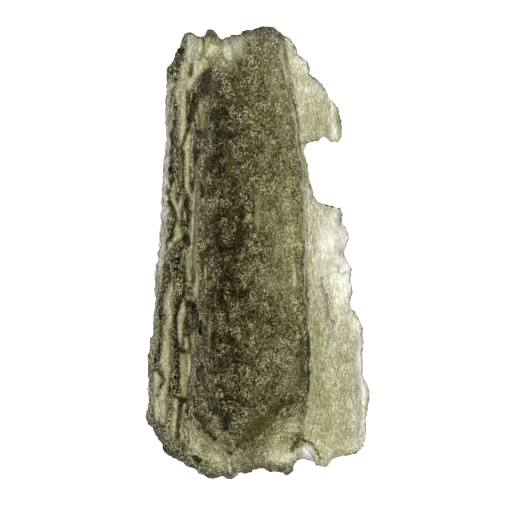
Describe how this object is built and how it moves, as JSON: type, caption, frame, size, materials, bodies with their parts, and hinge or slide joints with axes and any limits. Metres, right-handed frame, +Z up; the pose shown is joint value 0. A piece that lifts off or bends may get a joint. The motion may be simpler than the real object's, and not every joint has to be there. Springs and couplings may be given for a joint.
{
  "type": "moldavite",
  "caption": "Raw see-through olive-green natural glass stone, long and flat, with etched pits, lengthwise furrows and a thin broken flange.",
  "frame": {"origin": "middle of the bounding box's base, on the surface that the stone lies on", "axes": "+Y along the stone's length, +Z up from the surface that it lies on, +X towards the thin flange"},
  "size_m": [0.0226, 0.0454, 0.0096],
  "materials": {
    "olive_glass": "natural etched glass, satin with smooth windows"
  },
  "bodies": {
    "root": {"moldavite": "olive_glass"}
  },
  "joints": []
}
